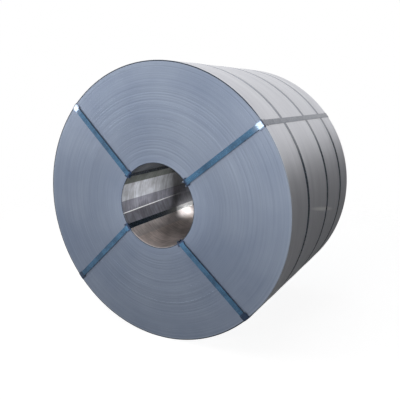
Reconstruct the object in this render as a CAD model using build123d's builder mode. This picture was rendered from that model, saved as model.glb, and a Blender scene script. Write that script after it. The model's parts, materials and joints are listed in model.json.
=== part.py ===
import os
from math import cos, degrees, radians, sin

from build123d import *

# A coil of hot rolled steel strip, strapped for transport.
# The bore lies along Y, the origin is the bore's centre at mid-width, and Z is up.
# The near end is at -Y. Angles are polar, seen from the near end, from +X towards +Z.

# The roll of strip
outer_diameter = 1668
bore_diameter = 508
strip_width = 1200

# The turns stand in groups on both ends, and a shallow groove parts each group from the next.
turn_groups = 34
groove_width = 2.4
groove_depth = 1.6
deep_groove_every = 5
deep_groove_depth = 3.2

# Steel strapping, the same on all seven bands
band_width = 32
band_thickness = 0.8

# Hoops round the roll, to the middle of each band: two set in from their ends, one off mid-width
near_hoop_inset = 285
middle_hoop_offset = 75
far_hoop_inset = 200

# Eye bands through the bore: where each one leaves the bore and where it crosses the rim
eye_band_angles = {
    "upper_right": (37.5, 37.2),
    "upper_left": (138.2, 136.1),
    "lower_left": (-143.8, -138.4),
    "lower_right": (-50.3, -44.3),
}

# Over the ends of the roll the eye bands stand off, and they slope down to its edges.
band_standoff = 8
bore_slope = 26
rim_slope = 42
edge_bend_radius = 1
shoulder_bend_radius = 15

# Bent sheet guards that carry the eye bands over the roll's edges
guard_width = 48
guard_thickness = 0.8
bore_leg_thickness = 0.35
bore_guard_face_leg = 23
bore_guard_inner_leg = 30
rim_guard_face_leg = 38
rim_guard_outer_leg = 35

# Seals that close the bands, with crimp notches in both sides
seal_length = 52
seal_wall = 1.2
seal_clearance = 0.4
crimp_length = 5
crimp_depth = 0.9
crimp_spacing = 14
crimp_count = 3
eye_seal_share = 0.55
hoop_seal_angles = {"near": 176, "middle": 183, "far": 179}

outer_radius = outer_diameter / 2
bore_radius = bore_diameter / 2
half_width = strip_width / 2
hoop_places = {
    "near": near_hoop_inset - half_width,
    "middle": middle_hoop_offset,
    "far": half_width - far_hoop_inset,
}

# The underside of an eye band over the far end: a corner at each edge and a shoulder by each slope
bore_corner = (bore_radius - bore_leg_thickness, half_width + guard_thickness)
bore_shoulder = (bore_radius + bore_slope, half_width + band_standoff)
rim_shoulder = (outer_radius - rim_slope, half_width + band_standoff)
rim_corner = (outer_radius + guard_thickness, half_width + guard_thickness)


def polar(radius, angle):
    return (radius * cos(radians(angle)), radius * sin(radians(angle)))


def half_angle(width, radius):
    return degrees(width / 2 / radius)


def radial_plane(angle):
    """The plane through the bore's axis: its X points out at this angle and its Y is the axis."""
    x, z = polar(1, angle)
    return Plane(origin=(0, 0, 0), x_dir=(x, 0, z), z_dir=(-z, 0, x))


def point_on_slope(corner, shoulder, radius):
    """The point of an eye band's underside at this radius, between a corner and its shoulder."""
    share = (radius - corner[0]) / (shoulder[0] - corner[0])
    return (radius, corner[1] + share * (shoulder[1] - corner[1]))


def finish(part, name):
    part.label = name
    export_step(part, f"parts/{name}.step")


os.makedirs("parts", exist_ok=True)

# The roll: one turned solid with its bore
group_pitch = (outer_radius - bore_radius) / turn_groups
with BuildPart() as coil:
    with BuildSketch(Plane.XY):
        with Locations(((bore_radius + outer_radius) / 2, 0)):
            Rectangle(outer_radius - bore_radius, strip_width)
        for group in range(1, turn_groups):
            depth = groove_depth
            if group % deep_groove_every == 0:
                depth = deep_groove_depth
            groove_radius = bore_radius + group * group_pitch
            with Locations((groove_radius, half_width), (groove_radius, -half_width)):
                Rectangle(groove_width, 2 * depth, mode=Mode.SUBTRACT)
    revolve(axis=Axis.Y)
finish(coil.part, "coil")

# Hoops round the roll
for place, hoop_y in hoop_places.items():
    with BuildPart() as hoop:
        with BuildSketch(Plane.XZ.offset(-hoop_y)):
            Circle(outer_radius + band_thickness)
            Circle(outer_radius, mode=Mode.SUBTRACT)
        extrude(amount=band_width / 2, both=True)
    finish(hoop.part, f"hoop_band_{place}")

# Eye bands: the band's loop turned round the bore's axis, of which one straight strip is kept
far_side = [bore_corner, bore_shoulder, rim_shoulder, rim_corner]
near_side = [(radius, -y) for radius, y in reversed(far_side)]
side_bends = [edge_bend_radius, shoulder_bend_radius, shoulder_bend_radius, edge_bend_radius]
inside_radius = bore_corner[0] - 2 * band_thickness
outside_radius = rim_corner[0] + 2 * band_thickness
inside_half = half_angle(band_width, inside_radius)
outside_half = half_angle(band_width, outside_radius)
for place, (bore_angle, rim_angle) in eye_band_angles.items():
    with BuildPart() as eye_band:
        with BuildSketch(Plane.XY):
            with BuildLine() as underside:
                FilletPolyline(*far_side, *near_side, radius=side_bends + side_bends, close=True)
            make_face()
            offset(amount=band_thickness)
            make_face(underside.edges(), mode=Mode.SUBTRACT)
        revolve(axis=Axis.Y)
        with BuildSketch(Plane.XZ):
            Polygon(
                polar(inside_radius, bore_angle - inside_half),
                polar(outside_radius, rim_angle - outside_half),
                polar(outside_radius, rim_angle + outside_half),
                polar(inside_radius, bore_angle + inside_half),
                align=None,
            )
        extrude(amount=strip_width, both=True, mode=Mode.INTERSECT)
    finish(eye_band.part, f"eye_band_{place}")


def make_guard(angle, section, edge_radius, side, name):
    """A guard over one edge: its section, which starts at the bend, turned along the edge."""
    half = half_angle(guard_width, edge_radius)
    bends = [edge_bend_radius] + [0] * (len(section) - 1)
    with BuildPart() as guard:
        with BuildSketch(radial_plane(angle + half)):
            with BuildLine():
                FilletPolyline(*section, radius=bends, close=True)
            make_face()
        revolve(axis=Axis.Y, revolution_arc=2 * half)
        if side == "near":
            mirror(about=Plane.XZ, mode=Mode.REPLACE)
    finish(guard.part, name)


# Edge guards, one under each eye band at each edge of both ends: a leg that lies along the roll
# and a leg that rises off its end, up to the band's shoulder
bore_leg_end = half_width - bore_guard_inner_leg
bore_face_end = point_on_slope(bore_corner, bore_shoulder, bore_radius + bore_guard_face_leg)
bore_section = [
    bore_corner,
    bore_face_end,
    (bore_face_end[0], bore_face_end[1] - guard_thickness),
    (bore_radius, half_width),
    (bore_radius, bore_leg_end),
    (bore_corner[0], bore_leg_end),
]
rim_leg_end = half_width - rim_guard_outer_leg
rim_face_end = point_on_slope(rim_corner, rim_shoulder, outer_radius - rim_guard_face_leg)
rim_section = [
    rim_corner,
    (rim_corner[0], rim_leg_end),
    (outer_radius, rim_leg_end),
    (outer_radius, half_width),
    (rim_face_end[0], rim_face_end[1] - guard_thickness),
    rim_face_end,
]
for place, (bore_angle, rim_angle) in eye_band_angles.items():
    for side in ("near", "far"):
        make_guard(bore_angle, bore_section, bore_radius, side, f"bore_guard_{side}_{place}")
        make_guard(rim_angle, rim_section, outer_radius, side, f"rim_guard_{side}_{place}")


def make_seal(seat, under_wall, name):
    """A seal round a band whose underside lies on the seat. The band runs along the seat's X."""
    channel_width = band_width + 2 * seal_clearance
    seal_width = channel_width + 2 * seal_wall
    seal_height = under_wall + band_thickness + seal_wall
    with BuildPart() as seal:
        with BuildSketch(seat.offset(-under_wall)):
            Rectangle(seal_length, seal_width)
        extrude(amount=seal_height)
        with BuildSketch(seat):
            Rectangle(seal_length, channel_width)
        extrude(amount=band_thickness, mode=Mode.SUBTRACT)
        with BuildSketch(seat.offset(-under_wall)):
            with GridLocations(crimp_spacing, seal_width, crimp_count, 2):
                Rectangle(crimp_length, 2 * crimp_depth)
        extrude(amount=seal_height, mode=Mode.SUBTRACT)
    finish(seal.part, name)


# Eye band seals on the far end, each closed all round its band
for place, (bore_angle, rim_angle) in eye_band_angles.items():
    start = Vector(*polar(bore_radius, bore_angle))
    end = Vector(*polar(outer_radius, rim_angle))
    along = end - start
    middle = start + along * eye_seal_share
    seat_origin = (middle.X, half_width + band_standoff, middle.Y)
    seat = Plane(origin=seat_origin, x_dir=(along.X, 0, along.Y), z_dir=(0, 1, 0))
    make_seal(seat, seal_wall, f"eye_seal_{place}")

# Hoop seals on the left side of the roll, each a cover over its band
for place, hoop_y in hoop_places.items():
    x, z = polar(outer_radius, hoop_seal_angles[place])
    seat = Plane(origin=(x, hoop_y, z), x_dir=(-z, 0, x), z_dir=(x, 0, z))
    make_seal(seat, 0, f"hoop_seal_{place}")
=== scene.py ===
import math
import random

import bmesh
import bpy
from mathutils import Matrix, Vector
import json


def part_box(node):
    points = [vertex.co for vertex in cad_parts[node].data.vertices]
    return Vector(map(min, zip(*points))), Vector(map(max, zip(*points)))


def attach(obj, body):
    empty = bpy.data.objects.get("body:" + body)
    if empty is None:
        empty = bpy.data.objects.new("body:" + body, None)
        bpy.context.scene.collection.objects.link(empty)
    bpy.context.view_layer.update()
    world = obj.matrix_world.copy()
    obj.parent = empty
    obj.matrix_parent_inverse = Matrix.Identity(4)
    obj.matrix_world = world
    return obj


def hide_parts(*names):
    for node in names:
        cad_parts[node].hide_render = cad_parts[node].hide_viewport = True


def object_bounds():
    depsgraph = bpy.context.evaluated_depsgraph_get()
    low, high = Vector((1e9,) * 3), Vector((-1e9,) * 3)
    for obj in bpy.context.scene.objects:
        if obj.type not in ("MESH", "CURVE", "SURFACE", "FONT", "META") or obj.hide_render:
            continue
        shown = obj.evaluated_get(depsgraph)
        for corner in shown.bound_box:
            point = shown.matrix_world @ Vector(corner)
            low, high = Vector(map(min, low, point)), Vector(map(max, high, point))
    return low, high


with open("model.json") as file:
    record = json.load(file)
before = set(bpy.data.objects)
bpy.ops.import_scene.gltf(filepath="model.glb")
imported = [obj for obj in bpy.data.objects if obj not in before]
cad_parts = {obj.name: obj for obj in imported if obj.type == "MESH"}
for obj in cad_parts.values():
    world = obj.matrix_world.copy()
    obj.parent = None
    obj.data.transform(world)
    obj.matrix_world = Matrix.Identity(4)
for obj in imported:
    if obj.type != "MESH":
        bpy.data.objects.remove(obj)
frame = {"nodes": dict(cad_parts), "record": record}
cadLow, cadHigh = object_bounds()

mm = 0.001  # sizes below are written as millimetres times mm, or in metres
coilLow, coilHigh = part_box("coil")
outerRadius = (coilHigh.x - coilLow.x) / 2
boreRadius = frame["record"]["mounts"][0]["dims"]["r_mm"] * mm
halfWidth = coilHigh.y
hoopLow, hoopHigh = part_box("hoop_band_near")
bandWidth = hoopHigh.y - hoopLow.y
tiny = 0.01 * mm  # points closer than this are one point


def say(stage):
    print("coil:", stage)


# Small helpers for working in edit mode

def pickNothing():
    if bpy.context.object and bpy.context.object.mode != "OBJECT":
        bpy.ops.object.mode_set(mode="OBJECT")
    bpy.ops.object.select_all(action="DESELECT")


def pickOnly(piece):
    pickNothing()
    piece.select_set(True)
    bpy.context.view_layer.objects.active = piece


def pickVerts(piece, test):
    # edit mode is on, and only the points that pass the test stay selected
    bpy.ops.mesh.select_mode(type="VERT")
    bpy.ops.mesh.select_all(action="DESELECT")
    shape = bmesh.from_edit_mesh(piece.data)
    for vert in shape.verts:
        vert.select = test(vert.co)
    shape.select_flush_mode()
    bmesh.update_edit_mesh(piece.data)


def pickEdges(piece, test):
    bpy.ops.mesh.select_mode(type="EDGE")
    bpy.ops.mesh.select_all(action="DESELECT")
    shape = bmesh.from_edit_mesh(piece.data)
    for edge in shape.edges:
        if test(edge):
            edge.select_set(True)
    bmesh.update_edit_mesh(piece.data)


def onWheel(angle, radius, y=0.0):
    # a place by its angle in degrees, seen from the near end, from +X towards +Z
    turn = math.radians(angle)
    return Vector((radius * math.cos(turn), y, radius * math.sin(turn)))


def angleOf(place):
    return math.degrees(math.atan2(place.z, place.x))


def radiusOf(place):
    return math.hypot(place.x, place.z)


def snapPicked(piece, ends):
    # the selected points go to these places, in the order that they were made
    shape = bmesh.from_edit_mesh(piece.data)
    picked = [vert for vert in shape.verts if vert.select]
    for vert, place in zip(picked, ends):
        vert.co = place
    bmesh.update_edit_mesh(piece.data)


def startLine(name, ends):
    # a grid primitive brought down to one line of points, ready to be extruded
    pickNothing()
    bpy.ops.mesh.primitive_grid_add(x_subdivisions=len(ends) - 1, y_subdivisions=1, size=1)
    piece = bpy.context.object
    piece.name = name
    bpy.ops.object.mode_set(mode="EDIT")
    pickVerts(piece, lambda place: place.y > 0)
    bpy.ops.mesh.delete(type="VERT")
    bpy.ops.mesh.select_all(action="SELECT")
    snapPicked(piece, ends)
    return piece


def extrudeTo(piece, ends):
    bpy.ops.mesh.extrude_edges_move()
    snapPicked(piece, ends)


sheet = {
    "edgeBreak": 0.15 * mm, "edgeShare": 0.3,  # cut edges are broken, at most by this share
    "edgeAngle": 50, "smoothAngle": 35,  # degrees
}


def thicken(piece, thickness):
    # the drawn surface is the middle of the steel
    pickOnly(piece)
    wall = piece.modifiers.new("wall", "SOLIDIFY")
    wall.thickness = thickness
    wall.offset = 0.0
    wall.use_even_offset = True
    bpy.ops.object.modifier_apply(modifier=wall.name)
    edge = piece.modifiers.new("edge", "BEVEL")
    edge.width = min(sheet["edgeBreak"], thickness * sheet["edgeShare"])
    edge.segments = 1
    edge.limit_method = "ANGLE"
    edge.angle_limit = math.radians(sheet["edgeAngle"])
    bpy.ops.object.modifier_apply(modifier=edge.name)


def settleFaces(piece):
    # faces outwards, bends smooth, and the flats between them kept flat
    pickOnly(piece)
    bpy.ops.object.mode_set(mode="EDIT")
    bpy.ops.mesh.select_all(action="SELECT")
    bpy.ops.mesh.normals_make_consistent(inside=False)
    bpy.ops.object.mode_set(mode="OBJECT")
    bpy.ops.object.shade_smooth_by_angle(angle=math.radians(sheet["smoothAngle"]))
    flat = piece.modifiers.new("flat", "WEIGHTED_NORMAL")
    flat.keep_sharp = True
    bpy.ops.object.modifier_apply(modifier=flat.name)


def copyPiece(piece, name, turn=0.0, flipped=False, along=0.0):
    # a copy with its own mesh, turned about the bore, flipped to the near end or moved along
    pickOnly(piece)
    bpy.ops.object.duplicate(linked=False)
    copy = bpy.context.object
    copy.name = name
    copy.rotation_euler.y = -math.radians(turn)
    copy.scale.y = -1 if flipped else 1
    copy.location.y = along
    bpy.ops.object.transform_apply(location=True, rotation=True, scale=True)
    return copy


def finishPiece(piece, slotName, material, *nodes):
    piece.data.materials.clear()
    piece.data.materials.append(material)
    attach(piece, "root")
    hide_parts(*nodes)


# Materials

def toLinear(hexText):
    channels = [int(hexText[i:i + 2], 16) / 255 for i in (1, 3, 5)]
    linear = [c / 12.92 if c <= 0.04045 else ((c + 0.055) / 1.055) ** 2.4 for c in channels]
    return (*linear, 1.0)


def addNode(tree, kind, settings=None, sockets=None, result=0):
    # settings are the node's own fields, or the stops of a ramp; sockets are values or links
    node = tree.nodes.new("ShaderNode" + kind)
    for field, value in (settings or {}).items():
        if field == "stops":
            band = node.color_ramp
            while len(band.elements) < len(value):
                band.elements.new(1.0)
            for element, (place, colour) in zip(band.elements, value):
                element.position = place
                element.color = toLinear(colour)
        elif field == "step":
            node.color_ramp.interpolation = value
        else:
            setattr(node, field, value)
    for key, value in (sockets or {}).items():
        if isinstance(value, bpy.types.NodeSocket):
            tree.links.new(value, node.inputs[key])
        else:
            node.inputs[key].default_value = value
    return node.outputs[result] if node.outputs else node


# settings that many nodes share
plus, minus = {"operation": "ADD"}, {"operation": "SUBTRACT"}
times, over = {"operation": "MULTIPLY"}, {"operation": "DIVIDE"}
above, below = {"operation": "GREATER_THAN"}, {"operation": "LESS_THAN"}
highest, unsigned = {"operation": "MAXIMUM"}, {"operation": "ABSOLUTE"}
smooth = {"interpolation_type": "SMOOTHSTEP"}
cover = {"data_type": "RGBA"}  # colour mix: socket 0 is the share, 6 and 7 are the colours
tinted = {"data_type": "RGBA", "blend_type": "MULTIPLY"}
mixed = 2  # the colour result of a mix


def newMaterial(name):
    material = bpy.data.materials.new(name)
    material.use_nodes = True
    tree = material.node_tree
    tree.nodes.clear()
    surface = addNode(tree, "BsdfPrincipled")
    addNode(tree, "OutputMaterial", sockets={"Surface": surface})
    return material, tree, surface.node.inputs


def wheelCoordinates(tree):
    # the distance from the bore's axis, the place along it, and the direction out from it
    place = addNode(tree, "TexCoord", result="Object")
    flat = addNode(tree, "VectorMath", times, {0: place, 1: (1, 0, 1)})
    out = addNode(tree, "VectorMath", {"operation": "NORMALIZE"}, {0: flat})
    outParts = addNode(tree, "SeparateXYZ", sockets={0: out}).node.outputs
    placeParts = addNode(tree, "SeparateXYZ", sockets={0: place}).node.outputs
    return {
        "place": place,
        "radius": addNode(tree, "VectorMath", {"operation": "LENGTH"}, {0: flat}, "Value"),
        "y": placeParts["Y"], "z": placeParts["Z"],
        "outX": outParts["X"], "outZ": outParts["Z"],
    }


def streaks(tree, wheel, across, pitch, run):
    # noise drawn out round the axis: pitch is the width of a streak in metres, run how often
    # it changes on the way round
    vector = addNode(tree, "CombineXYZ", sockets={
        0: addNode(tree, "Math", times, {0: across, 1: 1 / pitch}),
        1: addNode(tree, "Math", times, {0: wheel["outX"], 1: run}),
        2: addNode(tree, "Math", times, {0: wheel["outZ"], 1: run}),
    })
    return addNode(tree, "TexNoise", sockets={
        "Vector": vector, "Scale": 1.0, "Detail": 3.0, "Roughness": 0.6,
    })


stripEdges = {
    "pale": "#9da8ba", "mid": "#9aa5b8", "dark": "#96a1b4",
    # the turns are 3 mm thick and drawn coarser so that they show; run is how often they change
    "turnPitch": 14 * mm, "turnRun": 0.7, "finePitch": 5 * mm, "fineRun": 1.6,
    "fineLine": "#efeff1", "fineShare": 0.8, "fineHeight": 0.6,
    "cloud": "#dfe3ea", "cloudSize": 455 * mm,
    # a painted shade line along the outermost turns at the rim and the innermost at the bore, this
    # wide
    "edgeShade": "#39414e", "rimLine": 7 * mm, "boreLine": 5 * mm,
    "shadeFadeRight": (0.7, 0.84), "shadeFadeShare": 0.15,  # the painted shade at the rim fades out towards the right
    "paleRing": "#a9b5c5", "paleRingWidth": 19 * mm, "paleRingShare": 0.45,
    "metallic": 0.8, "roughness": 0.42, "bump": 0.07, "bumpDepth": 0.3 * mm,
}


def makeStripEdges():
    # Hot rolled strip edges, wound flush: satin blue-grey steel on which each turn is a fine arc
    material, tree, shader = newMaterial("slit_strip_edges_satin")
    wheel = wheelCoordinates(tree)
    turns = streaks(tree, wheel, wheel["radius"], stripEdges["turnPitch"], stripEdges["turnRun"])
    fine = streaks(tree, wheel, wheel["radius"], stripEdges["finePitch"], stripEdges["fineRun"])
    clouds = addNode(tree, "TexNoise", sockets={
        "Vector": wheel["place"], "Scale": 1 / stripEdges["cloudSize"], "Detail": 3.0,
    })
    turnTone = addNode(tree, "ValToRGB", {"stops": [
        (0.28, stripEdges["dark"]), (0.42, stripEdges["mid"]), (0.7, stripEdges["pale"]),
    ]}, {0: turns})
    fineTone = addNode(tree, "ValToRGB", {"stops": [
        (0.3, stripEdges["fineLine"]), (0.6, "#ffffff"),
    ]}, {0: fine})
    cloudTone = addNode(tree, "ValToRGB", {"stops": [
        (0.3, stripEdges["cloud"]), (0.7, "#ffffff"),
    ]}, {0: clouds})
    colour = addNode(tree, "Mix", tinted, {
        0: stripEdges["fineShare"], 6: turnTone, 7: fineTone,
    }, mixed)
    colour = addNode(tree, "Mix", tinted, {0: 1.0, 6: colour, 7: cloudTone}, mixed)
    # just inside the rim the turns are a little paler
    ring = addNode(tree, "MapRange", smooth, {
        "Value": wheel["radius"], "From Min": outerRadius - stripEdges["paleRingWidth"],
        "From Max": outerRadius - stripEdges["rimLine"], "To Max": stripEdges["paleRingShare"],
    })
    colour = addNode(tree, "Mix", cover, {
        0: ring, 6: colour, 7: toLinear(stripEdges["paleRing"]),
    }, mixed)
    # painted shade: a dark line along the outermost and innermost turns, fading out on the right of
    # the rim
    oiled = addNode(tree, "MapRange", smooth, {
        "Value": wheel["outX"], "From Min": stripEdges["shadeFadeRight"][0],
        "From Max": stripEdges["shadeFadeRight"][1], "To Min": 1.0, "To Max": stripEdges["shadeFadeShare"],
    })
    rim = addNode(tree, "Math", above, {
        0: wheel["radius"], 1: outerRadius - stripEdges["rimLine"],
    })
    bore = addNode(tree, "Math", below, {
        0: wheel["radius"], 1: boreRadius + stripEdges["boreLine"],
    })
    line = addNode(tree, "Math", highest, {
        0: addNode(tree, "Math", times, {0: oiled, 1: rim}), 1: bore,
    })
    colour = addNode(tree, "Mix", cover, {
        0: line, 6: colour, 7: toLinear(stripEdges["edgeShade"]),
    }, mixed)
    height = addNode(tree, "Math", plus, {
        0: turns, 1: addNode(tree, "Math", times, {0: fine, 1: stripEdges["fineHeight"]}),
    })
    bump = addNode(tree, "Bump", sockets={
        "Strength": stripEdges["bump"], "Distance": stripEdges["bumpDepth"], "Height": height,
    })
    tree.links.new(colour, shader["Base Color"])
    tree.links.new(bump, shader["Normal"])
    shader["Metallic"].default_value = stripEdges["metallic"]
    shader["Roughness"].default_value = stripEdges["roughness"]
    return material


rolledFace = {
    "pale": "#e3e4ea", "mid": "#dddee4", "dark": "#d5d6dd",
    # marks of the rolls are under 1 mm wide and drawn coarser so that they show
    "broadPitch": 88 * mm, "broadRun": 1.2, "finePitch": 3 * mm, "fineRun": 3.0,
    "fineLine": "#dcdcdc", "fineShare": 0.7,
    "metallic": 0.75, "roughness": (0.42, 0.52), "bump": 0.12, "bumpDepth": 0.3 * mm,
    # a painted glint across the right side, a white oval standing in for a reflection of light: its
    # middle, its slant, and half its length and width
    "scuff": "#ffffff", "glintY": -10 * mm, "glintZ": -43 * mm, "glintSlant": 0.2,
    "glintLong": 290 * mm, "glintWide": 16 * mm, "glintShare": 0.8,
}


def makeRolledFace():
    # Hot rolled strip, pickled: bright satin steel with faint streaks along the strip
    material, tree, shader = newMaterial("rolled_strip_satin")
    wheel = wheelCoordinates(tree)
    broad = streaks(tree, wheel, wheel["y"], rolledFace["broadPitch"], rolledFace["broadRun"])
    fine = streaks(tree, wheel, wheel["y"], rolledFace["finePitch"], rolledFace["fineRun"])
    broadTone = addNode(tree, "ValToRGB", {"stops": [
        (0.3, rolledFace["dark"]), (0.5, rolledFace["mid"]), (0.7, rolledFace["pale"]),
    ]}, {0: broad})
    fineTone = addNode(tree, "ValToRGB", {"stops": [
        (0.3, rolledFace["fineLine"]), (0.7, "#ffffff"),
    ]}, {0: fine})
    colour = addNode(tree, "Mix", tinted, {
        0: rolledFace["fineShare"], 6: broadTone, 7: fineTone,
    }, mixed)
    # the painted glint is an oval round a slanted line, white and without metal, standing in for a
    # reflection
    drop = addNode(tree, "Math", times, {0: wheel["y"], 1: rolledFace["glintSlant"]})
    slanted = addNode(tree, "Math", plus, {0: wheel["z"], 1: drop})
    offAcross = addNode(tree, "Math", minus, {0: slanted, 1: rolledFace["glintZ"]})
    offAlong = addNode(tree, "Math", minus, {0: wheel["y"], 1: rolledFace["glintY"]})
    across = addNode(tree, "Math", over, {0: offAcross, 1: rolledFace["glintWide"]})
    along = addNode(tree, "Math", over, {0: offAlong, 1: rolledFace["glintLong"]})
    spread = addNode(tree, "Math", plus, {
        0: addNode(tree, "Math", times, {0: across, 1: across}),
        1: addNode(tree, "Math", times, {0: along, 1: along}),
    })
    oval = addNode(tree, "Math", {"operation": "SUBTRACT", "use_clamp": True}, {0: 1.0, 1: spread})
    right = addNode(tree, "Math", above, {0: wheel["outX"], 1: 0.0})
    scuff = addNode(tree, "Math", times, {
        0: addNode(tree, "Math", times, {0: oval, 1: right}), 1: rolledFace["glintShare"],
    })
    colour = addNode(tree, "Mix", cover, {
        0: scuff, 6: colour, 7: toLinear(rolledFace["scuff"]),
    }, mixed)
    metallic = addNode(tree, "MapRange", sockets={
        "Value": scuff, "To Min": rolledFace["metallic"], "To Max": 0.0,
    })
    roughness = addNode(tree, "MapRange", sockets={
        "Value": fine, "From Min": 0.3, "From Max": 0.7,
        "To Min": rolledFace["roughness"][0], "To Max": rolledFace["roughness"][1],
    })
    bump = addNode(tree, "Bump", sockets={
        "Strength": rolledFace["bump"], "Distance": rolledFace["bumpDepth"], "Height": fine,
    })
    tree.links.new(colour, shader["Base Color"])
    tree.links.new(metallic, shader["Metallic"])
    tree.links.new(roughness, shader["Roughness"])
    tree.links.new(bump, shader["Normal"])
    return material


boreFace = {
    "pale": "#ffffff", "mid": "#dcdcdc", "dark": "#b4b2b0",
    # the mandrel's rub marks are about 1 mm wide and drawn coarser so that they show
    "rubPitch": 9 * mm, "rubRun": 1.6, "broadPitch": 108 * mm, "broadRun": 2.6,
    "blotch": "#a6a6a6", "blotchSize": 111 * mm, "blotchShare": 0.4,
    # painted light and reflections round the bore: stretches of the inner turn, each from an angle
    # in degrees, with its tint
    "stretches": [
        (0, "#b0b0b4"), (108, "#7d838c"), (133, "#5c615e"), (142, "#848a86"), (153.5, "#f2f6ff"),
        (178.6, "#a8a9b6"), (195, "#8b8c97"), (214, "#d6ccca"), (236, "#eeded8"), (272, "#e0d2cc"),
        (300, "#c4bdb8"),
    ],
    # a painted shade over the upper half, deep in the bore
    "dull": "#666a6d", "deepShadeDepth": (300 * mm, 620 * mm), "deepShadeShare": 0.6, "deepShadeFrom": -0.02,
    # a painted highlight on the lowest part of the inner turn's lip
    "lip": "#fff6f2", "lipHighlightWidth": 11 * mm, "lipHighlightUnder": (-0.6, -0.95), "lipHighlightShare": 0.9,
    "tail": (-163.2, -169.6),  # the strip's inner end runs from this angle to this one
    # a painted highlight along the strip's inner end
    "burr": "#ffffff", "tailHighlightWidth": 6 * mm, "tailHighlightDepth": (400 * mm, 800 * mm),
    "metallic": 0.3, "roughness": (0.55, 0.45),
}


def makeBoreFace():
    # The inner turn, rubbed by the mandrel: bright streaks along the strip on a duller ground,
    # under painted light, shade and reflections
    material, tree, shader = newMaterial("bore_strip_rubbed")
    wheel = wheelCoordinates(tree)
    rubs = streaks(tree, wheel, wheel["y"], boreFace["rubPitch"], boreFace["rubRun"])
    broad = streaks(tree, wheel, wheel["y"], boreFace["broadPitch"], boreFace["broadRun"])
    both = addNode(tree, "Math", plus, {
        0: addNode(tree, "Math", times, {0: rubs, 1: 0.5}),
        1: addNode(tree, "Math", times, {0: broad, 1: 0.5}),
    })
    ground = addNode(tree, "ValToRGB", {"stops": [
        (0.36, boreFace["dark"]), (0.5, boreFace["mid"]), (0.62, boreFace["pale"]),
    ]}, {0: both})
    angle = addNode(tree, "Math", {"operation": "ARCTAN2"}, {0: wheel["outZ"], 1: wheel["outX"]})
    turn = addNode(tree, "Math", {"operation": "FRACT"}, {
        0: addNode(tree, "Math", times, {0: angle, 1: 0.5 / math.pi}),
    })
    # painted light and reflections by the angle round the bore
    stretches = addNode(tree, "ValToRGB", {"step": "CONSTANT", "stops": [
        (start / 360, tone) for start, tone in boreFace["stretches"]
    ]}, {0: turn})
    colour = addNode(tree, "Mix", tinted, {0: 1.0, 6: ground, 7: stretches}, mixed)
    blotches = addNode(tree, "TexNoise", sockets={
        "Vector": wheel["place"], "Scale": 1 / boreFace["blotchSize"], "Detail": 2.0,
    })
    blotchTone = addNode(tree, "ValToRGB", {"stops": [
        (0.38, boreFace["blotch"]), (0.6, "#ffffff"),
    ]}, {0: blotches})
    colour = addNode(tree, "Mix", tinted, {
        0: boreFace["blotchShare"], 6: colour, 7: blotchTone,
    }, mixed)
    # painted shade: the upper half darkens with depth into the bore
    deep = addNode(tree, "MapRange", smooth, {
        "Value": wheel["y"], "From Min": boreFace["deepShadeDepth"][0] - halfWidth,
        "From Max": boreFace["deepShadeDepth"][1] - halfWidth, "To Max": boreFace["deepShadeShare"],
    })
    upper = addNode(tree, "Math", above, {0: wheel["outZ"], 1: boreFace["deepShadeFrom"]})
    dull = addNode(tree, "Math", times, {0: deep, 1: upper})
    colour = addNode(tree, "Mix", cover, {
        0: dull, 6: colour, 7: toLinear(boreFace["dull"]),
    }, mixed)
    # painted highlight: the lip of the inner turn is drawn pale at its lowest place
    edge = addNode(tree, "Math", above, {
        0: addNode(tree, "Math", unsigned, {0: wheel["y"]}), 1: halfWidth - boreFace["lipHighlightWidth"],
    })
    under = addNode(tree, "MapRange", smooth, {
        "Value": wheel["outZ"], "From Min": boreFace["lipHighlightUnder"][0],
        "From Max": boreFace["lipHighlightUnder"][1], "To Max": boreFace["lipHighlightShare"],
    })
    lip = addNode(tree, "Math", times, {0: edge, 1: under})
    colour = addNode(tree, "Mix", cover, {0: lip, 6: colour, 7: toLinear(boreFace["lip"])}, mixed)
    # painted highlight: a bright line along the strip's inner end, where the next turn shows,
    # fading with depth
    tailAngle = addNode(tree, "MapRange", sockets={
        "Value": wheel["y"], "From Min": -halfWidth, "From Max": halfWidth,
        "To Min": math.radians(boreFace["tail"][0]), "To Max": math.radians(boreFace["tail"][1]),
    })
    offTail = addNode(tree, "Math", unsigned, {
        0: addNode(tree, "Math", minus, {0: angle, 1: tailAngle}),
    })
    onTail = addNode(tree, "Math", below, {0: offTail, 1: boreFace["tailHighlightWidth"] / 2 / boreRadius})
    fade = addNode(tree, "MapRange", smooth, {
        "Value": wheel["y"], "From Min": boreFace["tailHighlightDepth"][0] - halfWidth,
        "From Max": boreFace["tailHighlightDepth"][1] - halfWidth, "To Min": 1.0, "To Max": 0.0,
    })
    burr = addNode(tree, "Math", times, {0: fade, 1: onTail})
    colour = addNode(tree, "Mix", cover, {0: burr, 6: colour, 7: toLinear(boreFace["burr"])}, mixed)
    roughness = addNode(tree, "MapRange", sockets={
        "Value": broad, "From Min": 0.35, "From Max": 0.65,
        "To Min": boreFace["roughness"][0], "To Max": boreFace["roughness"][1],
    })
    tree.links.new(colour, shader["Base Color"])
    tree.links.new(roughness, shader["Roughness"])
    shader["Metallic"].default_value = boreFace["metallic"]
    return material


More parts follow.
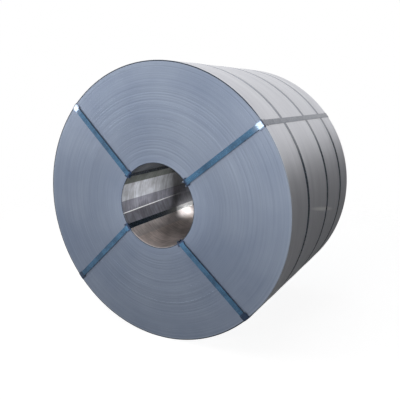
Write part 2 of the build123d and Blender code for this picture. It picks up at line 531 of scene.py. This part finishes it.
# paints on the strapping, the guards and the seals; ends is a painted shade where a piece turns the
# edge of the coil, the tone that follows it a painted shade on its part inside the bore, and onRoll
# the one round the coil. The grain of paint and wax is about 0.5 mm and drawn coarser so that it
# shows.
strapPaint = {
    "name": "strapping_painted_waxed", "pale": "#5286ae", "mid": "#477ca4", "dark": "#3b6c93",
    "ends": "#2b4166", "inBoreShade": "#16222c", "onRoll": "#3a4f66",
    "grain": 5 * mm, "metallic": 0.5, "coat": 0.7,
}
hoopPaint = {
    "name": "hoop_strapping_painted", "pale": "#26435c", "mid": "#1f384f", "dark": "#182d40",
    "ends": "#2c4058", "inBoreShade": "#16222c", "onRoll": "#34475e",
    "grain": 5 * mm, "metallic": 0.0, "coat": 0.25,
}
guardPaint = {
    "name": "guard_sheet_painted", "pale": "#354f74", "mid": "#2b4264", "dark": "#203250",
    "ends": "#2b4264", "inBoreShade": "#35465c", "onRoll": "#22354d",
    "grain": 4 * mm, "metallic": 0.3, "coat": 0.4,
}
sealPaint = {
    "name": "seal_steel_painted", "pale": "#4d7ba0", "mid": "#3f6d92", "dark": "#325c7e",
    "ends": "#3f6d92", "inBoreShade": "#16222c", "onRoll": "#5580a3",
    "grain": 3 * mm, "metallic": 0.5, "coat": 0.4,
}
# real wear of the paint, and the painted light and shade on the painted pieces
wear = {
    "atBore": 10 * mm, "atRim": 7 * mm, "atLowRim": 42 * mm, "lowShare": 0.75,
    "spread": 2 * mm,  # how unevenly a shaded end stops
    # painted highlight: on the upper bands the paint is drawn pale where they slope down to the rim
    "slopeHighlight": "#b4c6e2", "slopeHighlightWidth": 34 * mm, "slopeHighlightFade": 50 * mm, "slopeHighlightShare": 0.55,
    # paler on top of the roll: dust, and a painted sheen of the sky there
    "dust": "#abb2c5", "dustAndSheenFrom": 0.3, "dustAndSheenTo": 0.7, "dustAndSheenShare": 0.88,
    "patch": 12, "rubbed": "#d4d4d6", "rubbedShare": 0.6,  # a patch is this many grains wide
    "inBore": 0.4 * mm, "onRoll": 0.1 * mm,  # what lies this near the walls is in or on the roll
    "roughness": (0.2, 0.3), "bump": 0.02, "bumpDepth": 0.2 * mm, "coatRoughness": 0.08,
}


def makePaint(finish):
    # High tensile steel, painted blue and waxed: a skin with a metal sheen that mirrors the sky
    # where it bends, with painted shade at its bent ends and inside the bore, a painted highlight
    # on the upper slopes to the rim, and paler on top of the coil from dust and a painted sheen
    material, tree, shader = newMaterial(finish["name"])
    wheel = wheelCoordinates(tree)
    patches = addNode(tree, "TexNoise", sockets={
        "Vector": wheel["place"], "Scale": 1 / (finish["grain"] * wear["patch"]), "Detail": 4.0,
    })
    grain = addNode(tree, "TexNoise", sockets={
        "Vector": wheel["place"], "Scale": 1 / finish["grain"], "Detail": 2.0,
    })
    colour = addNode(tree, "ValToRGB", {"stops": [
        (0.3, finish["dark"]), (0.5, finish["mid"]), (0.7, finish["pale"]),
    ]}, {0: patches})
    uneven = addNode(tree, "Math", times, {
        0: addNode(tree, "Math", minus, {0: grain, 1: 0.5}), 1: wear["spread"],
    })
    radius = addNode(tree, "Math", plus, {0: wheel["radius"], 1: uneven})
    # painted shade where a band bends round the bore and the rim, and a painted dark reflection
    # over the rim slope of the lower bands
    nearBore = addNode(tree, "Math", below, {0: radius, 1: boreRadius + wear["atBore"]})
    nearRim = addNode(tree, "Math", above, {0: radius, 1: outerRadius - wear["atRim"]})
    nearLowRim = addNode(tree, "Math", times, {
        0: addNode(tree, "Math", above, {0: radius, 1: outerRadius - wear["atLowRim"]}),
        1: addNode(tree, "Math", below, {0: wheel["z"], 1: 0.0}),
    })
    lowEnd = addNode(tree, "Math", times, {0: nearLowRim, 1: wear["lowShare"]})
    worn = addNode(tree, "Math", highest, {
        0: nearBore, 1: addNode(tree, "Math", highest, {0: nearRim, 1: lowEnd}),
    })
    # painted highlight where the upper bands slope down to the rim
    sloped = addNode(tree, "MapRange", smooth, {
        "Value": radius, "From Min": outerRadius - wear["slopeHighlightWidth"] - wear["slopeHighlightFade"],
        "From Max": outerRadius - wear["slopeHighlightWidth"], "To Max": wear["slopeHighlightShare"],
    })
    upper = addNode(tree, "Math", above, {0: wheel["z"], 1: 0.0})
    polished = addNode(tree, "Math", times, {0: sloped, 1: upper})
    # painted shade on what lies inside the bore
    inBore = addNode(tree, "Math", below, {0: wheel["radius"], 1: boreRadius + wear["inBore"]})
    onRoll = addNode(tree, "Math", above, {0: wheel["radius"], 1: outerRadius - wear["onRoll"]})
    layers = (
        (polished, wear["slopeHighlight"]), (worn, finish["ends"]), (inBore, finish["inBoreShade"]),
        (onRoll, finish["onRoll"]),
    )
    for share, tone in layers:
        colour = addNode(tree, "Mix", cover, {0: share, 6: colour, 7: toLinear(tone)}, mixed)
    # dust and a painted sheen on the top of the roll
    dust = addNode(tree, "MapRange", smooth, {
        "Value": wheel["outZ"], "From Min": wear["dustAndSheenFrom"], "From Max": wear["dustAndSheenTo"],
        "To Max": wear["dustAndSheenShare"],
    })
    dusty = addNode(tree, "Math", times, {0: dust, 1: onRoll})
    colour = addNode(tree, "Mix", cover, {0: dusty, 6: colour, 7: toLinear(wear["dust"])}, mixed)
    rubbed = addNode(tree, "ValToRGB", {"stops": [
        (0.35, wear["rubbed"]), (0.6, "#ffffff"),
    ]}, {0: patches})
    colour = addNode(tree, "Mix", tinted, {0: wear["rubbedShare"], 6: colour, 7: rubbed}, mixed)
    clean = addNode(tree, "Math", minus, {
        0: 1.0, 1: addNode(tree, "Math", highest, {0: worn, 1: onRoll}),
    })
    roughness = addNode(tree, "MapRange", sockets={
        "Value": grain, "From Min": 0.3, "From Max": 0.7,
        "To Min": wear["roughness"][0], "To Max": wear["roughness"][1],
    })
    bump = addNode(tree, "Bump", sockets={
        "Strength": wear["bump"], "Distance": wear["bumpDepth"], "Height": grain,
    })
    tree.links.new(colour, shader["Base Color"])
    tree.links.new(roughness, shader["Roughness"])
    tree.links.new(bump, shader["Normal"])
    for name, socket in (("metallic", "Metallic"), ("coat", "Coat Weight")):
        if finish[name] > 0:
            share = addNode(tree, "Math", times, {0: clean, 1: finish[name]})
            tree.links.new(share, shader[socket])
    shader["Coat Roughness"].default_value = wear["coatRoughness"]
    return material


# The roll of strip

roll = {
    "segments": 256, "seeds": (11, 23),  # of the near and the far end
    "groups": 34,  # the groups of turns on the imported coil
    "grooveWidth": 1.6 * mm, "grooveDepth": 0.15 * mm,
    "deepEvery": 5, "deepDepth": 0.4 * mm,
    "depthShares": (0.2, 1.0), "widthShares": (0.5, 1.0),  # grooves differ between these
    "drift": 0.22, "stepDrift": 0.15,  # grooves and steps stray by these shares of a group
    "stepWidth": 0.8 * mm,
    "levelSpread": 0.05 * mm,  # how unevenly the turns stand, always inwards
    "edgeRound": 3 * mm, "roundShare": 0.3, "smoothAngle": 12,
    # degrees: how long the step at a cut end is, how far past the end a cut reaches, and slack
    "tailSlope": 0.45, "tailMargin": 6, "tailSlack": 0.1,
    "wallReach": 0.3 * mm,  # a point this near a wall belongs to it
    "innerStep": 3.2 * mm, "innerTaper": 16,
    "outerAngle": -128, "outerStep": 3.2 * mm, "outerTaper": 20,
    # a wall's skin is the faces this near it and this far in from the ends that face away from them
    "wallDepth": 5 * mm, "skinFrom": 0.6 * mm, "endFacing": 0.8,
}


def endProfile(seed):
    # radius and depth below the end, from the bore to the rim
    chance = random.Random(seed)
    pitch = (outerRadius - boreRadius) / roll["groups"]
    soft = roll["edgeRound"]
    softer = soft * roll["roundShare"]
    points = [(boreRadius, soft), (boreRadius + softer, softer), (boreRadius + soft, 0)]
    level = 0
    for group in range(1, roll["groups"]):
        stray = chance.uniform(-roll["stepDrift"], roll["stepDrift"])
        middle = boreRadius + (group - 0.5) * pitch + stray * pitch
        nextLevel = chance.uniform(0, roll["levelSpread"])
        points += [(middle - roll["stepWidth"] / 2, level)]
        points += [(middle + roll["stepWidth"] / 2, nextLevel)]
        level = nextLevel
        depth = roll["deepDepth"] if group % roll["deepEvery"] == 0 else roll["grooveDepth"]
        depth *= chance.uniform(*roll["depthShares"])
        groove = boreRadius + (group + chance.uniform(-roll["drift"], roll["drift"])) * pitch
        reach = roll["grooveWidth"] / 2 * chance.uniform(*roll["widthShares"])
        nextLevel = chance.uniform(0, roll["levelSpread"])
        points += [(groove - reach, level), (groove, max(level, nextLevel) + depth)]
        points += [(groove + reach, nextLevel)]
        level = nextLevel
    return points + [
        (outerRadius - soft, 0), (outerRadius - softer, softer), (outerRadius, soft),
    ]


def cutTail(piece, radius, nearAngle, farAngle, grow, taper):
    # two cuts along the strip's end, and the wall beyond them moves by the strip's thickness
    slope = roll["tailSlope"]
    span = farAngle - nearAngle
    low = min(nearAngle, farAngle) - roll["tailMargin"]
    high = max(nearAngle, farAngle) + roll["tailMargin"]

    def onWall(place):
        return abs(radiusOf(place) - radius) < roll["wallReach"]

    for shift in (0.0, -slope):
        first = onWheel(nearAngle + shift, radius, -halfWidth)
        second = onWheel(farAngle + shift, radius, halfWidth)
        outward = onWheel((nearAngle + farAngle) / 2 + shift, 1.0)
        across = (second - first).cross(outward).normalized()
        pickVerts(piece, lambda place: onWall(place) and low < angleOf(place) < high)
        bpy.ops.mesh.bisect(plane_co=first, plane_no=across)
    shape = bmesh.from_edit_mesh(piece.data)
    for vert in shape.verts:
        share = (vert.co.y + halfWidth) / (2 * halfWidth)
        past = (nearAngle + span * share - slope - angleOf(vert.co)) % 360
        past = 0.0 if past > 360 - roll["tailSlack"] else past  # just short of the cut is on it
        if onWall(vert.co) and past < taper:
            scale = 1 + grow * (1 - past / taper) / radius
            vert.co = Vector((vert.co.x * scale, vert.co.y, vert.co.z * scale))
    bmesh.update_edit_mesh(piece.data)


def makeRoll():
    near, far = (endProfile(seed) for seed in roll["seeds"])
    outline = [Vector((radius, depth - halfWidth, 0)) for radius, depth in near]
    outline += [Vector((radius, halfWidth - depth, 0)) for radius, depth in reversed(far)]
    piece = startLine("strip_roll", [outline[0], outline[1]])
    pickVerts(piece, lambda place: (place - outline[1]).length < tiny)
    for before, after in zip(outline[1:], outline[2:] + outline[:1]):
        bpy.ops.mesh.extrude_vertices_move(TRANSFORM_OT_translate={"value": after - before})
    bpy.ops.mesh.select_all(action="SELECT")
    bpy.ops.mesh.remove_doubles(threshold=tiny)
    bpy.ops.mesh.select_all(action="SELECT")
    bpy.ops.mesh.spin(
        steps=roll["segments"], angle=2 * math.pi, center=(0, 0, 0), axis=(0, 1, 0),
    )
    bpy.ops.mesh.select_all(action="SELECT")
    bpy.ops.mesh.remove_doubles(threshold=tiny)
    cutTail(piece, boreRadius, *boreFace["tail"], roll["innerStep"], roll["innerTaper"])
    cutTail(piece, outerRadius, roll["outerAngle"], roll["outerAngle"], -roll["outerStep"],
            roll["outerTaper"])
    bpy.ops.mesh.select_all(action="SELECT")
    bpy.ops.mesh.normals_make_consistent(inside=False)
    bpy.ops.object.mode_set(mode="OBJECT")
    bpy.ops.object.shade_smooth_by_angle(angle=math.radians(roll["smoothAngle"]))
    finishPiece(piece, "rolled_strip", makeStripEdges(), "coil")
    piece.data.materials.append(makeRolledFace())
    piece.data.materials.append(makeBoreFace())
    for face in piece.data.polygons:  # material 0 stays on the ends
        radius = radiusOf(face.center)
        inside = abs(face.center.y) < halfWidth - roll["skinFrom"]
        if inside and abs(face.normal.y) < roll["endFacing"]:
            if radius > outerRadius - roll["wallDepth"]:
                face.material_index = 1
            elif radius < boreRadius + roll["wallDepth"]:
                face.material_index = 2
    say("roll of strip, %d faces" % len(piece.data.polygons))


# Hoops round the roll

strap = {
    "thickness": 0.8 * mm, "hoopSegments": 192,
    "boreSlope": 26 * mm, "rimSlope": 42 * mm, "standoff": 8 * mm,
    "cornerBend": 3.4 * mm, "shoulderBend": 80 * mm, "bendSegments": 5,  # radii of its bends
    "widthSlack": 0.5 * mm,  # an edge this close to the band's width runs across it
}


def makeHoops(material):
    pickNothing()
    bpy.ops.mesh.primitive_cylinder_add(
        vertices=strap["hoopSegments"], radius=hoopHigh.z - strap["thickness"] / 2,
        depth=bandWidth, end_fill_type="NOTHING", rotation=(math.pi / 2, 0, 0),
    )
    first = bpy.context.object
    bpy.ops.object.transform_apply(location=True, rotation=True, scale=True)
    thicken(first, strap["thickness"])
    for place in ("near", "middle", "far"):
        low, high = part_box("hoop_band_" + place)
        hoop = copyPiece(first, "hoop_strap_" + place, along=(low.y + high.y) / 2)
        settleFaces(hoop)
        finishPiece(hoop, "strapping", material, "hoop_band_" + place)
    bpy.data.objects.remove(first)


# Sheet guards under the eye bands at the edges

# where each eye band leaves the bore and where it crosses the rim, in degrees
eyeAngles = {
    "upper_right": (37.5, 37.2),
    "upper_left": (138.2, 136.1),
    "lower_left": (-143.8, -138.4),
    "lower_right": (-50.3, -44.3),
}
guard = {
    "width": 48 * mm, "columns": 6, "bend": 2.4 * mm, "bendSegments": 3,
    "earLift": 1.2 * mm, "earFrom": 0.6,  # the ears beside the band are pressed down to the coil
    "bore": {"thickness": 0.35 * mm, "faceLeg": 23 * mm, "rollLeg": 30 * mm},
    "rim": {"thickness": 0.8 * mm, "faceLeg": 38 * mm, "rollLeg": 35 * mm},
}


def makeGuards(edgeName, material):
    # one guard at angle 0 on the far end, of which all the others are copies
    facts = guard[edgeName]
    inwards = -1 if edgeName == "bore" else 1
    edgeRadius = boreRadius if edgeName == "bore" else outerRadius
    thickness = facts["thickness"]
    corner = edgeRadius + inwards * thickness / 2
    cornerY = halfWidth + thickness / 2
    faceRadius = edgeRadius - inwards * facts["faceLeg"]
    slope = (strap["standoff"] - thickness) / strap[edgeName + "Slope"]
    faceY = cornerY + slope * abs(faceRadius - corner)
    section = [(corner, halfWidth - facts["rollLeg"]), (corner, cornerY), (faceRadius, faceY)]
    rows = []
    for radius, y in section:
        row = []
        for column in range(guard["columns"] + 1):
            share = column / guard["columns"] * 2 - 1
            turn = math.degrees(share * guard["width"] / 2 / edgeRadius)
            press = max(0, abs(share) - guard["earFrom"]) / (1 - guard["earFrom"])
            lift = guard["earLift"] * press if radius == faceRadius else 0
            row.append(onWheel(turn, radius, y - lift))
        rows.append(row)
    first = startLine(edgeName + "_corner", rows[0])
    for row in rows[1:]:
        extrudeTo(first, row)
    pickEdges(first, lambda edge: all(abs(vert.co.y - cornerY) < tiny for vert in edge.verts))
    bpy.ops.mesh.bevel(offset=guard["bend"], segments=guard["bendSegments"], affect="EDGES")
    bpy.ops.object.mode_set(mode="OBJECT")
    thicken(first, thickness)
    for place, angles in eyeAngles.items():
        for side in ("near", "far"):
            copy = copyPiece(first, f"{edgeName}_corner_{side}_{place}",
                             angles[0 if edgeName == "bore" else 1], side == "near")
            settleFaces(copy)
            finishPiece(copy, "guard_sheet", material, f"{edgeName}_guard_{side}_{place}")
    bpy.data.objects.remove(first)


# Eye bands through the bore

def onFaceLine(start, end, radius):
    # the point of the straight line from start to end at this distance from the axis
    run = end - start
    a, b, c = run.dot(run), 2 * start.dot(run), start.dot(start) - radius * radius
    return start + run * ((-b + math.sqrt(b * b - 4 * a * c)) / (2 * a))


def makeEyeBand(place, material):
    boreAngle, rimAngle = eyeAngles[place]
    half = strap["thickness"] / 2
    start = onWheel(boreAngle, boreRadius - guard["bore"]["thickness"] - half)
    end = onWheel(rimAngle, outerRadius + guard["rim"]["thickness"] + half)
    along = (end - start).normalized()
    across = Vector((-along.z, 0, along.x))
    edgeY = halfWidth + guard["rim"]["thickness"] + half
    faceY = halfWidth + strap["standoff"] + half
    corners = [
        (start, edgeY, onWheel(boreAngle + 90, 1.0)),
        (onFaceLine(start, end, boreRadius + strap["boreSlope"]), faceY, across),
        (onFaceLine(start, end, outerRadius - strap["rimSlope"]), faceY, across),
        (end, edgeY, onWheel(rimAngle + 90, 1.0)),
    ]
    rows = []
    for side, stations in ((1, reversed(corners)), (-1, corners)):
        for point, out, wide in stations:
            centre = point + Vector((0, side * out, 0))
            rows.append([centre - wide * bandWidth / 2, centre + wide * bandWidth / 2])
    band = startLine("eye_strap_" + place, rows[0])
    for row in rows[1:] + rows[:1]:
        extrudeTo(band, row)
    bpy.ops.mesh.select_all(action="SELECT")
    bpy.ops.mesh.remove_doubles(threshold=tiny)
    slope = math.atan2(faceY - edgeY, strap["boreSlope"])
    bends = (
        (strap["shoulderBend"] * math.tan(slope / 2), faceY),
        (strap["cornerBend"] * math.tan((math.pi / 2 - slope) / 2), edgeY),
    )
    for offset, level in bends:
        pickEdges(band, lambda edge: abs(edge.calc_length() - bandWidth) < strap["widthSlack"]
                  and all(abs(abs(vert.co.y) - level) < tiny for vert in edge.verts))
        bpy.ops.mesh.bevel(offset=offset, segments=strap["bendSegments"], affect="EDGES")
    bpy.ops.object.mode_set(mode="OBJECT")
    thicken(band, strap["thickness"])
    settleFaces(band)
    finishPiece(band, "strapping", material, "eye_band_" + place)


def dressNode(name, material):
    node = frame["nodes"][name]
    if node.material_slots:
        for holder in node.material_slots:
            holder.material = material
    else:
        node.data.materials.append(material)


# Camera, floor and light

studio = {
    "camera": (1.6043, -2.9421, 0.6338), "pitch": -0.20808, "yaw": 0.50931,
    "lens": 44.13, "sensor": 36,
    "floorSize": 14.0, "floorSolid": 2.2, "floorFade": 4.5, "floorGrey": "#a8a8a8",
    "floorGlow": 0.88, "skyLight": 0.2,
    "groundFade": (1.2, 4.5),  # the mirrored ground brightens between these distances
}


def makeCamera():
    pickNothing()
    bpy.ops.object.camera_add(
        location=studio["camera"], rotation=(math.pi / 2 + studio["pitch"], 0, studio["yaw"]),
    )
    camera = bpy.context.object
    camera.name = "camera"
    camera.data.lens = studio["lens"]
    camera.data.sensor_width = studio["sensor"]
    bpy.context.scene.camera = camera


def seenDirectly(tree):
    # 1 for camera, glossy and transmission rays, which all see the plain background
    path = addNode(tree, "LightPath").node.outputs
    seen = addNode(tree, "Math", highest, {0: path["Is Camera Ray"], 1: path["Is Glossy Ray"]})
    return addNode(tree, "Math", highest, {0: seen, 1: path["Is Transmission Ray"]})


def makeWorld():
    world = bpy.data.worlds.new("studio")
    bpy.context.scene.world = world
    world.use_nodes = True
    tree = world.node_tree
    tree.nodes.clear()
    strength = addNode(tree, "MapRange", sockets={
        "Value": seenDirectly(tree), "To Min": studio["skyLight"], "To Max": 1.0,
    })
    sky = addNode(tree, "Background", sockets={"Color": (1, 1, 1, 1), "Strength": strength})
    addNode(tree, "OutputWorld", sockets={"Surface": sky})


def makeFloor():
    pickNothing()
    bpy.ops.mesh.primitive_plane_add(size=studio["floorSize"], location=(0, 0, cadLow.z))
    floor = bpy.context.object
    floor.name = "floor"
    material = bpy.data.materials.new("studio_floor")
    material.use_nodes = True
    tree = material.node_tree
    tree.nodes.clear()
    place = addNode(tree, "TexCoord", result="Object")
    away = addNode(tree, "VectorMath", {"operation": "LENGTH"}, {0: place}, "Value")
    fade = addNode(tree, "MapRange", smooth, {
        "Value": away, "From Min": studio["floorSolid"], "From Max": studio["floorFade"],
    })
    paint = addNode(tree, "BsdfDiffuse", sockets={"Color": toLinear(studio["floorGrey"])})
    strength = addNode(tree, "Math", times, {0: seenDirectly(tree), 1: studio["floorGlow"]})
    glow = addNode(tree, "Emission", sockets={"Color": (1, 1, 1, 1), "Strength": strength})
    both = addNode(tree, "AddShader", sockets={0: paint, 1: glow})
    clear = addNode(tree, "BsdfTransparent")
    surface = addNode(tree, "MixShader", sockets={0: fade, 1: both, 2: clear})
    addNode(tree, "OutputMaterial", sockets={"Surface": surface})
    floor.data.materials.append(material)


lamps = {
    "overhead": {"place": (-0.5, -1.1, 3.6), "aim": (0, 0, 0), "size": (4.4, 4.4), "power": 48},
    "leftKey": {"place": (-4.2, -4.2, 3.2), "aim": (0, 0, 0), "size": (1.6, 1.6), "power": 8},
    # two lamps that the sloped ends of the upper eye bands mirror
    "rightGlint": {
        "place": (0.16, -4.54, 1.04), "aim": (0.65, -0.6, 0.5), "size": (1.0, 0.6), "power": 14,
    },
    "leftGlint": {
        "place": (-3.93, -2.74, 1.07), "aim": (-0.6, -0.6, 0.57), "size": (1.0, 0.6), "power": 14,
    },
}
# narrow lamps that shine into the bore: two through the far end and one from the front
boreLamps = {
    "boreBack": {
        "end": 1, "towards": (0.378, 0.766, 0.521), "away": 3.5, "power": 130, "cone": 6.5,
        "blend": 0.3, "soft": 0.05,
    },
    "boreSun": {
        "end": 1, "towards": (0.27, 0.91, 0.315), "away": 3.5, "power": 1300, "cone": 0.9,
        "blend": 0.1, "soft": 0.03,
    },
    "boreFront": {
        "end": -1, "towards": (0.68, -0.73, -0.02), "away": 3.6, "power": 740, "cone": 7.0,
        "blend": 0.3, "soft": 0.15,
    },
}
# cards that only reflections see: the dull ground all round, and the dark past the right side
cards = {
    "groundCard": {
        "place": (0, 0, cadLow.z + 0.002), "turn": (0, 0, 0), "size": (120, 120),
        "level": 0.42, "farLevel": 0.85,
    },
    "matCard": {
        "place": (1.7, 2.2, cadLow.z + 0.004), "turn": (0, 0, 0), "size": (2.3, 6.0),
        "level": 0.085,
    },
    "sideCard": {
        "place": (2.9, 2.2, 0.06), "turn": (0, math.pi / 2, 0), "size": (1.8, 6.0),
        "level": 0.07,
    },
    "backCard": {
        "place": (1.9, 5.2, 0.2), "turn": (math.pi / 2, 0, 0), "size": (2.0, 2.1),
        "level": 0.12,
    },
    "leftCard": {
        "place": (-5.8, -5.0, cadLow.z + 0.006), "turn": (0, 0, 0), "size": (6.4, 7.0),
        "level": 0.54,
    },
}


def makeCard(name, facts):
    pickNothing()
    bpy.ops.mesh.primitive_plane_add(size=1, location=facts["place"], rotation=facts["turn"])
    card = bpy.context.object
    card.name = name
    card.scale = (*facts["size"], 1)
    card.visible_camera = card.visible_diffuse = card.visible_shadow = False
    material = bpy.data.materials.new("studio_" + name)
    material.use_nodes = True
    tree = material.node_tree
    tree.nodes.clear()
    spot = addNode(tree, "NewGeometry", result="Position")
    level = addNode(tree, "MapRange", sockets={
        "Value": addNode(tree, "VectorMath", {"operation": "LENGTH"}, {0: spot}, "Value"),
        "From Min": studio["groundFade"][0], "From Max": studio["groundFade"][1],
        "To Min": facts["level"], "To Max": facts.get("farLevel", facts["level"]),
    })
    glow = addNode(tree, "Emission", sockets={"Color": (1, 1, 1, 1), "Strength": level})
    addNode(tree, "OutputMaterial", sockets={"Surface": glow})
    card.data.materials.append(material)


def makeLamp(name, facts):
    data = bpy.data.lights.new(name, "AREA")
    data.shape = "RECTANGLE"
    data.size, data.size_y = facts["size"]
    data.energy = facts["power"]
    lamp = bpy.data.objects.new(name, data)
    bpy.context.scene.collection.objects.link(lamp)
    lamp.location = facts["place"]
    aim = Vector(facts["aim"]) - lamp.location
    lamp.rotation_euler = aim.to_track_quat("-Z", "Y").to_euler()


def makeBoreLamp(name, facts):
    data = bpy.data.lights.new(name, "SPOT")
    data.energy = facts["power"]
    data.spot_size = math.radians(facts["cone"])
    data.spot_blend = facts["blend"]
    data.shadow_soft_size = facts["soft"]
    lamp = bpy.data.objects.new(name, data)
    bpy.context.scene.collection.objects.link(lamp)
    towards = Vector(facts["towards"]).normalized()
    lamp.location = Vector((0, halfWidth * facts["end"], 0)) + towards * facts["away"]
    lamp.rotation_euler = (-towards).to_track_quat("-Z", "Y").to_euler()


makeCamera()
makeWorld()
makeFloor()
for lampName, lampFacts in lamps.items():
    makeLamp(lampName, lampFacts)
for lampName, lampFacts in boreLamps.items():
    makeBoreLamp(lampName, lampFacts)
for cardName, cardFacts in cards.items():
    makeCard(cardName, cardFacts)
say("camera, floor and light")

makeRoll()
makeHoops(makePaint(hoopPaint))
say("hoops")
guardMaterial = makePaint(guardPaint)
makeGuards("bore", guardMaterial)
makeGuards("rim", guardMaterial)
say("edge guards")
strapMaterial = makePaint(strapPaint)
for bandPlace in eyeAngles:
    makeEyeBand(bandPlace, strapMaterial)
say("eye bands")
sealMaterial = makePaint(sealPaint)
for sealPlace in eyeAngles:
    dressNode("eye_seal_" + sealPlace, sealMaterial)
for sealPlace in ("near", "middle", "far"):
    dressNode("hoop_seal_" + sealPlace, sealMaterial)
say("seals")

bpy.context.scene.view_settings.view_transform = "Standard"
